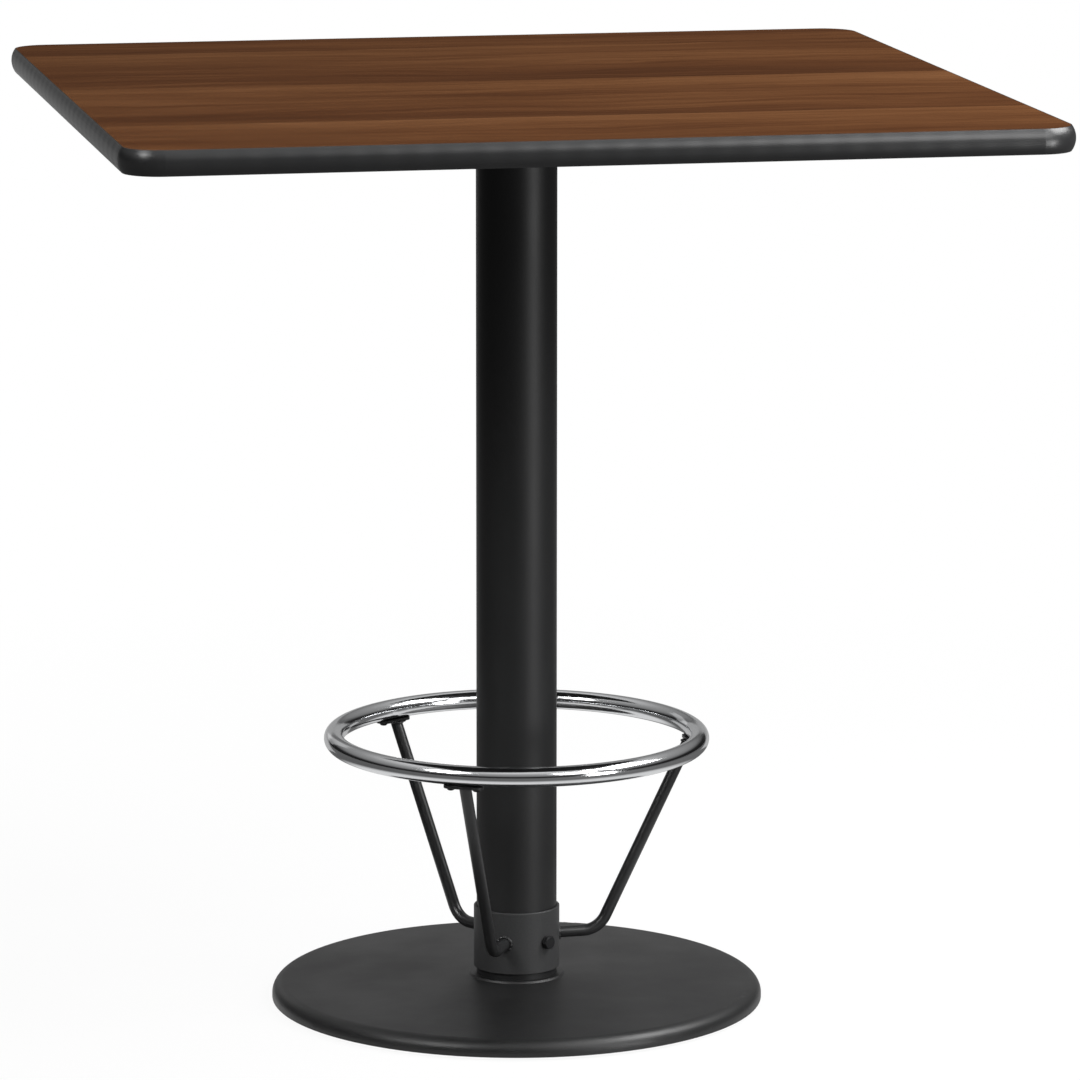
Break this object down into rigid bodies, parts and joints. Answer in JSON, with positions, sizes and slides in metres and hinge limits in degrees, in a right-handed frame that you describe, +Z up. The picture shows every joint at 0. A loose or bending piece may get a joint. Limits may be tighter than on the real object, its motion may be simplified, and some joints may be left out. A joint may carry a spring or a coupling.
{
  "type": "pub table",
  "caption": "Square bar-height pub table with a walnut laminate top, black column on a round cast base and a chrome foot ring that clamps to the column.",
  "frame": {"origin": "on the floor under the column's axis, at the middle of the square top", "axes": "+Z up; X and Y along the edges of the square top, -Y towards the pictured front edge; one foot-ring leg points 2.5 degrees from +X towards +Y"},
  "size_m": [1.0666, 1.0666, 1.0954],
  "materials": {
    "walnut_laminate": "satin walnut-pattern laminate with plank seams",
    "chipboard": "raw chipboard",
    "backing_sheet": "black balancing sheet",
    "vinyl_edge": "satin black extruded vinyl",
    "black_tube": "satin black powder coat",
    "textured_base": "black sand-textured powder coat",
    "black_casting": "black powder coat",
    "ring_chrome": "bright chrome plate",
    "black_screws": "black oxide",
    "zinc_steel": "zinc-plated steel",
    "nylon": "black nylon"
  },
  "bodies": {
    "table": {"top_core": "chipboard", "top_laminate": "walnut_laminate", "backing_sheet": "backing_sheet", "edge_moulding": "vinyl_edge", "spider": "black_casting", "top_screws": "zinc_steel", "column": "black_tube", "tie_rod": "zinc_steel", "rod_washer_lower": "zinc_steel", "rod_nut_lower": "zinc_steel", "rod_washer_upper": "zinc_steel", "rod_nut_upper": "zinc_steel", "base_plate": "textured_base"},
    "foot_rest": {"collar": "black_tube", "leg_1": "black_tube", "leg_2": "black_tube", "leg_3": "black_tube", "leg_plate_1": "black_tube", "leg_plate_2": "black_tube", "leg_plate_3": "black_tube", "foot_ring": "ring_chrome", "ring_screws": "black_screws"},
    "clamp_bolt": {"clamp_bolt": "black_screws"},
    "glide_pad_1": {"glide_pad_1": "nylon"},
    "glide_stud_1": {"glide_stud_1": "zinc_steel"},
    "glide_pad_2": {"glide_pad_2": "nylon"},
    "glide_stud_2": {"glide_stud_2": "zinc_steel"},
    "glide_pad_3": {"glide_pad_3": "nylon"},
    "glide_stud_3": {"glide_stud_3": "zinc_steel"},
    "glide_pad_4": {"glide_pad_4": "nylon"},
    "glide_stud_4": {"glide_stud_4": "zinc_steel"}
  },
  "joints": [
    {"name": "foot_rest_slide", "type": "slide", "parent": "table", "child": "foot_rest", "axis": [0, 0, 1], "range_m": [-0.0065, 0.6]},
    {"name": "clamp_bolt_slide", "type": "slide", "parent": "foot_rest", "child": "clamp_bolt", "axis": [0.5373, -0.8434, 0], "range_m": [0, 0.004]},
    {"name": "glide_1_height", "type": "slide", "parent": "table", "child": "glide_pad_1", "axis": [0, 0, 1], "range_m": [-0.006, 0]},
    {"name": "glide_1_turn", "type": "hinge", "parent": "glide_pad_1", "child": "glide_stud_1", "pos_m": [0.17869, 0.17869, 0.004], "axis": [0, 0, 1], "range_deg": [-1730, 0]},
    {"name": "glide_2_height", "type": "slide", "parent": "table", "child": "glide_pad_2", "axis": [0, 0, 1], "range_m": [-0.006, 0]},
    {"name": "glide_2_turn", "type": "hinge", "parent": "glide_pad_2", "child": "glide_stud_2", "pos_m": [-0.17869, 0.17869, 0.004], "axis": [0, 0, 1], "range_deg": [-1730, 0]},
    {"name": "glide_3_height", "type": "slide", "parent": "table", "child": "glide_pad_3", "axis": [0, 0, 1], "range_m": [-0.006, 0]},
    {"name": "glide_3_turn", "type": "hinge", "parent": "glide_pad_3", "child": "glide_stud_3", "pos_m": [-0.17869, -0.17869, 0.004], "axis": [0, 0, 1], "range_deg": [-1730, 0]},
    {"name": "glide_4_height", "type": "slide", "parent": "table", "child": "glide_pad_4", "axis": [0, 0, 1], "range_m": [-0.006, 0]},
    {"name": "glide_4_turn", "type": "hinge", "parent": "glide_pad_4", "child": "glide_stud_4", "pos_m": [0.17869, -0.17869, 0.004], "axis": [0, 0, 1], "range_deg": [-1730, 0]}
  ],
  "couplings": [
    {"joint": "glide_1_turn", "follows": "glide_1_height", "rad_per_m": 5026.5},
    {"joint": "glide_2_turn", "follows": "glide_2_height", "rad_per_m": 5026.5},
    {"joint": "glide_3_turn", "follows": "glide_3_height", "rad_per_m": 5026.5},
    {"joint": "glide_4_turn", "follows": "glide_4_height", "rad_per_m": 5026.5}
  ]
}
